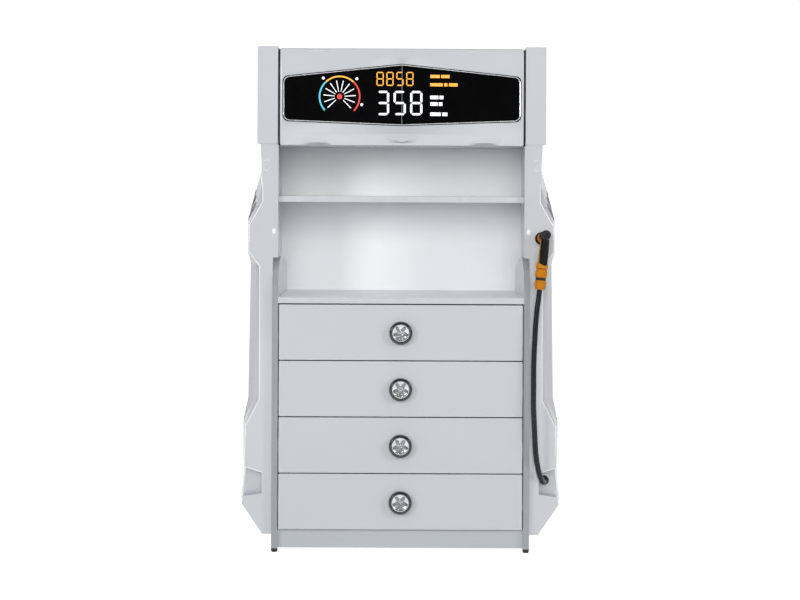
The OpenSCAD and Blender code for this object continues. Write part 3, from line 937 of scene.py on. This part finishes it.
def add_rim(n, centre):
    """The five-pointed silver rim inside the tyre, on a stub that meets the drawer."""
    columns = RIM_COLUMNS
    hub = 0.0006
    points = []

    def add_ring(r, height):
        """Adds a ring of points and returns where it starts."""
        start = len(points)
        for a in circle(columns):
            points.append(Vector(centre) + Vector((r * cos(a), -height(a), r * sin(a))))
        return start

    for i in range(RIM_ROWS + 1):
        r = hub + (RIM_R - hub) * i / RIM_ROWS
        last = add_ring(r, lambda a: rim_height(r, a))
    faces = ring_faces(RIM_ROWS + 1, columns)
    faces.append(tuple(range(columns - 1, -1, -1)))
    for r, depth in ((RIM_R, STUB_DEPTH), (STUB_R, STUB_DEPTH), (STUB_R, 0.0)):
        ring = add_ring(r, lambda a: depth)
        faces += bridge(last, ring, columns)
        last = ring
    faces.append(tuple(last + j for j in range(columns)))
    rim = new_object("drawer_%d_rim" % n, points, faces)
    paint(rim, "knob_silver", "drawer_%d" % n)
    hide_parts("drawer_%d_knob_rim" % n)


def add_knobs():
    """A wheel knob on each drawer."""
    for n in DRAWERS:
        low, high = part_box("drawer_%d_knob_tyre" % n)
        centre = Vector(((low.x + high.x) / 2, Y_FRONT, (low.z + high.z) / 2))
        add_tyre(n, centre)
        add_rim(n, centre)


# ---- nozzle ----

BARREL_AXIS = (TAIL - MOUTH).normalized()
HANDLE_AXIS = (GRIP_TOP - GRIP_FOOT).normalized()
HANDLE_LENGTH = (GRIP_TOP - GRIP_FOOT).length


def joined(name, parts):
    """One object from several, keeping their meshes."""
    points = []
    faces = []
    for part in parts:
        start = len(points)
        points += [part.matrix_world @ v.co for v in part.data.vertices]
        faces += [tuple(start + i for i in p.vertices) for p in part.data.polygons]
        bpy.data.objects.remove(part)
    return new_object(name, points, faces)


def add_gun_body():
    """Yellow barrel, neck and the two ears that hold the trigger."""
    barrel = rounded_profile(0.115, BARREL_R, 0.0025, -0.055)
    collar = rounded_profile(0.012, BARREL_R + 0.0022, 0.002, 0.012)
    foot = HANDLE_AT
    slope = foot + SHOULDER_H - 0.006
    neck = [
        (foot, 0.0005), (foot, 0.0168), (foot + 0.0003, 0.0175), (foot + 0.0009, SHOULDER_R),
        (slope - 0.0005, SHOULDER_R), (slope + 0.0005, 0.0174), (foot + SHOULDER_H, 0.0136),
        (foot + 0.035, 0.0128), (HANDLE_LENGTH - 0.008, 0.0118),
        (HANDLE_LENGTH, 0.0100), (HANDLE_LENGTH, 0.0005),
    ]
    parts = [
        lathe("barrel", barrel, MOUTH, BARREL_AXIS, 48),
        lathe("barrel_collar", collar, MOUTH, BARREL_AXIS, 48),
        lathe("neck", neck, GRIP_FOOT, HANDLE_AXIS, 56),
    ]
    for side in (-1, 1):
        ear = Vector((PIVOT.x + side * 0.0065, PIVOT.y, PIVOT.z))
        disc = rounded_profile(2 * EAR_HALF, EAR_R, 0.0006, -EAR_HALF)
        parts.append(lathe("ear", disc, ear, (1, 0, 0), 32))
        rings = []
        for z in (0.0, 0.007, 0.014):
            rings.append([ear + Vector((dx * EAR_HALF, dy * EAR_R, z))
                          for dx, dy in ((-1, -1), (1, -1), (1, 1), (-1, 1))])
        parts.append(loft("ear_web", rings, smooth=False))
    body = joined("nozzle_body", parts)
    add_bevel(body, 0.0004, 2, 50)
    paint(body, "yellow_plastic", "nozzle")
    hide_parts("gun_body")


def add_grip():
    """Black soft grip with cross ribs, over the front of the handle and the barrel's rear."""
    start = HANDLE_AT + 0.0012
    length = HANDLE_LENGTH - start - 0.010
    end_round = 0.0128
    u, v = basis(HANDLE_AXIS)
    rings = []
    rows = 110
    for i in range(rows + 1):
        share = i / rows
        along = share * length
        round_end = sqrt(max(0.0, 1 - (1 - min(1.0, along / end_round)) ** 2))
        swell = 0.0122 + 0.0009 * sin(share * pi)
        ribbed = 0.20 < share < 0.78
        rib = 0.0006 * max(0.0, sin(along / 0.0048 * TAU)) if ribbed else 0.0
        radius = max(0.0004, swell * round_end - rib)
        centre = GRIP_FOOT + HANDLE_AXIS * (start + along) + GRIP_SHIFT
        rings.append(round_ring(centre, u, v, radius, 40))
    handle = loft("grip_handle", rings)
    sleeve = [
        (0.034, 0.0132), (0.0342, 0.0146), (0.0355, 0.0150), (0.040, 0.0150), (0.0405, 0.0144),
        (0.0425, 0.0144), (0.043, 0.0150), (0.052, 0.0150), (0.0525, 0.0144), (0.0545, 0.0144),
        (0.055, 0.0150), (0.0575, 0.0150), (0.0588, 0.0140), (0.059, 0.0132),
    ]
    grip = joined("nozzle_grip", [handle, lathe("grip_sleeve", sleeve, MOUTH, BARREL_AXIS, 56)])
    paint(grip, "soft_grip", "nozzle")
    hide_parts("gun_grip")


def add_trigger():
    """Curved yellow lever with a rounded tip."""
    rows = 18
    boss = rounded_profile(0.009, EAR_R, 0.0008, -0.0045)
    boss = lathe("trigger_boss", boss, PIVOT, (1, 0, 0), 36)
    rings = []
    for i in range(rows + 1):
        t = i / rows
        bow = 0.0045 * sin(t * pi) * 0.4 + 0.001 * (1 - t)
        centre = PIVOT.lerp(TIP, t) + Vector((0, bow, -0.002 * (1 - t)))
        half_w = 0.0040 + 0.0030 * t ** 1.5
        half_t = 0.0026 - 0.0006 * t
        if i == rows:
            half_w *= 0.80
            half_t *= 0.6
        outline = [rounded_box_point(a, half_w, half_t, 0.7) for a in circle(20)]
        rings.append([centre + Vector((x, y, 0)) for x, y in outline])
    lever = loft("trigger_lever_skin", rings)
    tip = lathe("trigger_tip", rounded_profile(0.014, 0.0034, 0.0012, -0.007), TIP, (1, 0, 0), 32)
    trigger = joined("nozzle_trigger", [boss, lever, tip])
    paint(trigger, "yellow_plastic", "trigger_lever")
    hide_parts("trigger")


def add_flow_knob():
    """Round black knob at the rear of the nozzle, fluted round its rim."""
    profile = [
        (0.0605, 0.0005), (0.0605, 0.0130), (0.0610, 0.0139), (0.0620, 0.0144), (0.0640, 0.0145),
        (0.0670, 0.0145), (0.0688, 0.0143), (0.0698, 0.0136), (0.0704, 0.0124), (0.0705, 0.0100),
        (0.0700, 0.0088), (0.0693, 0.0075), (0.0690, 0.0060), (0.0690, 0.0030), (0.0697, 0.0020),
        (0.0699, 0.0002),
    ]

    def flutes(along, angle):
        if along > 0.0695 or along < 0.0607:
            return 0.0
        return -0.0011 * max(0.0, cos(angle * 12)) ** 4

    knob = lathe("nozzle_flow_knob", profile, MOUTH, BARREL_AXIS, 192, flutes)
    paint(knob, "black_plastic", "flow_control")
    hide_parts("flow_knob")


RIB_DEPTH = 0.0009


def ribs(count, low, high):
    """A radius change that raises ribs between two heights."""
    def shape(along, angle):
        if along < low or along > high:
            return 0.0
        return RIB_DEPTH * max(0.0, cos(angle * count)) ** 6
    return shape


def add_coupling():
    """Sliding collar, black ring and the ribbed nut on the hose."""
    low = NUT_H + CORE_H - 0.0005
    high = low + COLLAR_H - 0.001
    profile = [(low, 0.0150), (low, 0.0160), (low + 0.0003, 0.0165), (low + 0.0009, 0.0168)]
    profile += [(low + 0.004 + 0.0016 * k, 0.0168) for k in range(9)]
    profile += [(high - 0.0062, 0.0168), (high - 0.0058, 0.0163), (high - 0.0010, 0.0163),
                (high - 0.0003, 0.0160), (high, 0.0153), (high, 0.0123)]
    collar = lathe("coupling_collar_skin", profile, GRIP_FOOT, HANDLE_AXIS, 192,
                   ribs(16, low + 0.003, high - 0.0065))
    paint(collar, "yellow_plastic", "collar")
    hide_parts("coupling_collar")

    profile = [(0.0, 0.0100), (0.0, 0.0134), (0.0010, 0.0142), (0.0060, 0.0160), (0.0072, 0.0165)]
    profile += [(0.0085 + 0.0015 * k, 0.0165) for k in range(11)]
    profile += [(0.0250, 0.0165), (NUT_H - 0.0008, 0.0161), (NUT_H, 0.0150), (NUT_H, 0.0100)]
    nut = lathe("coupling_nut_skin", profile, GRIP_FOOT, HANDLE_AXIS, 192,
                ribs(12, 0.0080, 0.0245))
    paint(nut, "yellow_plastic", "nozzle")
    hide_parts("coupling_nut")

    dress("coupling_core", "black_plastic", 0.0006)
    dress("trigger_pin", "zinc_steel", 0.0004)


# ---- details on the shells ----

def side_sign(side):
    """1 on the right, -1 on the left."""
    return 1 if side == "right" else -1


def shell_tree(side):
    """A search tree of one shell in its final shape."""
    return BVHTree.FromObject(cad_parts["side_shell_" + side],
                              bpy.context.evaluated_depsgraph_get())


def on_flank(tree, sign, y, z, lift):
    """The point on a shell's flank at a depth and a height, lifted off a little."""
    start = Vector((sign * 0.60, y, z))
    hit, normal = tree.ray_cast(start, Vector((-sign, 0, 0)))[:2]
    return hit + normal * (lift if normal.x * sign > 0 else -lift)


def add_ribbon(points, faces, corners, width, tree, sign, lift):
    """Adds a band of even width that follows corners given as (y, z)."""
    steps = 26
    lanes = 6
    for (y0, z0), (y1, z1) in zip(corners, corners[1:]):
        run = hypot(y1 - y0, z1 - z0)
        across = (-(z1 - z0) / run * width, (y1 - y0) / run * width)
        start = len(points)
        for i in range(steps + 1):
            y = y0 + (y1 - y0) * i / steps
            z = z0 + (z1 - z0) * i / steps
            for lane in range(lanes + 1):
                side_y = y + across[0] * (lane / lanes - 0.5)
                side_z = z + across[1] * (lane / lanes - 0.5)
                points.append(on_flank(tree, sign, side_y, side_z, lift))
        for i in range(steps):
            for lane in range(lanes):
                a = start + (lanes + 1) * i + lane
                faces.append((a, a + 1, a + lanes + 2, a + lanes + 1))


FLANK_STRIPES = (
    (0.021, ((-0.0970, 1.030), (-0.050, 0.988), (0.125, 0.974))),
    (0.017, ((-0.074, 1.054), (-0.044, 1.014), (0.118, 1.000))),
    (0.013, ((-0.058, 1.070), (-0.036, 1.038), (0.110, 1.024))),
)


def add_stripes(side):
    """Plain speed stripes on the flank of a shell, each with a pale line down its middle."""
    tree = shell_tree(side)
    sign = side_sign(side)
    for name, share, lift, finish_name in (("flank_stripes_", 1.0, 0.0006, "stripe_ink"),
                                           ("flank_lines_", 0.14, 0.0010, "stripe_core")):
        points = []
        faces = []
        for width, corners in FLANK_STRIPES:
            add_ribbon(points, faces, corners, width * share, tree, sign, lift)
        marks = new_object(name + side, points, faces)
        paint(marks, finish_name, "cabinet")


SHELL_EDGE = (
    (0.412, 0.233), (0.466, 0.250), (0.462, 0.370), (0.422, 0.450), (0.422, 0.845),
    (0.455, 0.890), (0.453, 0.967), (0.414, 1.038), (0.414, 1.100),
)


def add_edge_highlight(side):
    """A thin bright bead along the outer edge of a shell's raised front: a painted highlight of the
    rounded edge.
    """
    sign = side_sign(side)
    inset = 0.0016
    steps = 10
    path = []
    for (x0, z0), (x1, z1) in zip(SHELL_EDGE, SHELL_EDGE[1:]):
        for i in range(steps):
            x = x0 + (x1 - x0) * i / steps
            z = z0 + (z1 - z0) * i / steps
            path.append(Vector((sign * (x - inset), Y_SHELL + inset, z)))
    bead = sweep("shell_edge_highlight_" + side, path, 0.0019, 12)
    paint(bead, "highlight_white", "cabinet")


def raised(name, centre, outline, profile):
    """A low relief of scaled copies of an outline."""
    rings = []
    for scale, out in profile:
        rings.append([centre + Vector((x * scale, -out, z * scale)) for x, z in outline])
    return loft(name, rings, caps=False)


def add_pad(side):
    """A small boss on the pillar's inner edge, where its facet ends, in bright white: a painted
    highlight.
    """
    centre = Vector((side_sign(side) * 0.3785, Y_SHELL - 0.0002, 0.950))
    outline = [rounded_box_point(a, 0.0055, 0.0085, 0.6) for a in circle(32)]
    profile = ((1.0, 0.0), (0.97, 0.0010), (0.86, 0.0018), (0.6, 0.0023), (0.3, 0.0025),
               (0.02, 0.0025))
    pad = raised("pillar_pad_highlight_" + side, centre, outline, profile)
    paint(pad, "highlight_white", "cabinet")


def add_dimple(side):
    """A D-shaped moulded mark near the top of each pillar; its ring is painted lighter than the
    shell as a painted highlight, and its dish is in the shell's plastic.
    """
    sign = side_sign(side)
    centre = Vector((sign * 0.401, Y_SHELL, 1.146))
    half_w, half_h = 0.011, 0.016
    outline = []
    for a in circle(40):
        x = half_w * cos(a)
        z = half_h * copysign(abs(sin(a)) ** 0.85, sin(a))
        if x < 0:
            x *= 0.72
        outline.append((x * sign, z))
    rim = ((1.14, 0.0), (1.10, 0.0012), (1.04, 0.0020), (0.97, 0.0020), (0.90, 0.0012),
           (0.86, 0.0004))
    dish = ((0.86, 0.0004), (0.70, 0.0003), (0.40, 0.0004), (0.02, 0.0005))
    for name, profile, finish_name in (("pillar_ring_highlight_", rim, "painted_lit_white"),
                                       ("pillar_dish_", dish, "shell_plastic")):
        part = raised(name + side, centre, outline, profile)
        paint(part, finish_name, "cabinet")


# ---- stage and light ----

FLOOR_FRONT = -12.0
FLOOR_HALF = 16.0
FLOOR_DROP = 0.0002
SWEEP_START = 9.0
SWEEP_R = 3.0
WALL_HIGH = 14.0
FLOOR_GLOW = 0.78


def add_stage():
    """A pale floor that sweeps up behind."""
    profile = [(FLOOR_FRONT, 0.0), (SWEEP_START, 0.0)]
    for a in quarter(12)[1:]:
        profile.append((SWEEP_START + SWEEP_R * sin(a), SWEEP_R - SWEEP_R * cos(a)))
    profile.append((SWEEP_START + SWEEP_R, WALL_HIGH))
    points = []
    for y, z in profile:
        points += [(-FLOOR_HALF, y, z - FLOOR_DROP), (FLOOR_HALF, y, z - FLOOR_DROP)]
    faces = [(2 * i, 2 * i + 1, 2 * i + 3, 2 * i + 2) for i in range(len(profile) - 1)]
    floor = new_object("floor", points, faces)
    material = finish("floor_paper", (0.86, 0.86, 0.86), (0.88, 0.88, 0.88), (0.6, 0.8),
                      grain=50.0, bump=0.02, mottle=1.0)
    add_glow(material, (1, 1, 1), FLOOR_GLOW)
    floor.data.materials.append(material)
    floor.visible_diffuse = False


def add_area(name, location, target, size, power, colour=(1, 1, 1), glossy=True):
    """A soft square lamp aimed at a point."""
    data = bpy.data.lights.new(name, "AREA")
    data.shape = "SQUARE"
    data.size = size
    data.energy = power
    data.color = colour
    lamp = bpy.data.objects.new(name, data)
    lamp.location = location
    lamp.visible_camera = False
    lamp.visible_glossy = glossy
    lamp.rotation_euler = (Vector(target) - Vector(location)).to_track_quat("-Z", "Y").to_euler()
    bpy.context.scene.collection.objects.link(lamp)


def add_light():
    """Even studio light, a little stronger from the upper left."""
    world = bpy.data.worlds.new("studio")
    world.use_nodes = True
    background = world.node_tree.nodes["Background"]
    background.inputs["Color"].default_value = (0.95, 0.97, 1.0, 1)
    background.inputs["Strength"].default_value = 0.30
    bpy.context.scene.world = world
    bpy.context.scene.view_settings.view_transform = "Standard"
    add_area("front", (0, -7.0, 2.1), (0, 0, 0.85), 3.0, 218, glossy=False)
    add_area("key", (-2.5, -3.8, 1.6), (0, -0.17, 0.8), 0.9, 48)
    add_area("fill", (3.1, -3.0, 1.8), (0, -0.17, 0.8), 1.0, 40, (1.0, 0.98, 0.98))
    add_area("top", (0.0, -1.2, 4.2), (0, 0.0, 0.8), 1.6, 10)


# ---- the scene ----

add_camera()
make_materials()
add_hose()
dress_cabinet()
dress_drawers()
add_header()
add_gap_shade_strips()
add_display()
add_display_bead()
add_display_marks()
add_knobs()
add_gun_body()
add_grip()
add_trigger()
add_flow_knob()
add_coupling()
for shell_side in ("left", "right"):
    add_stripes(shell_side)
    add_dimple(shell_side)
    add_pad(shell_side)
    add_edge_highlight(shell_side)
add_stage()
add_light()
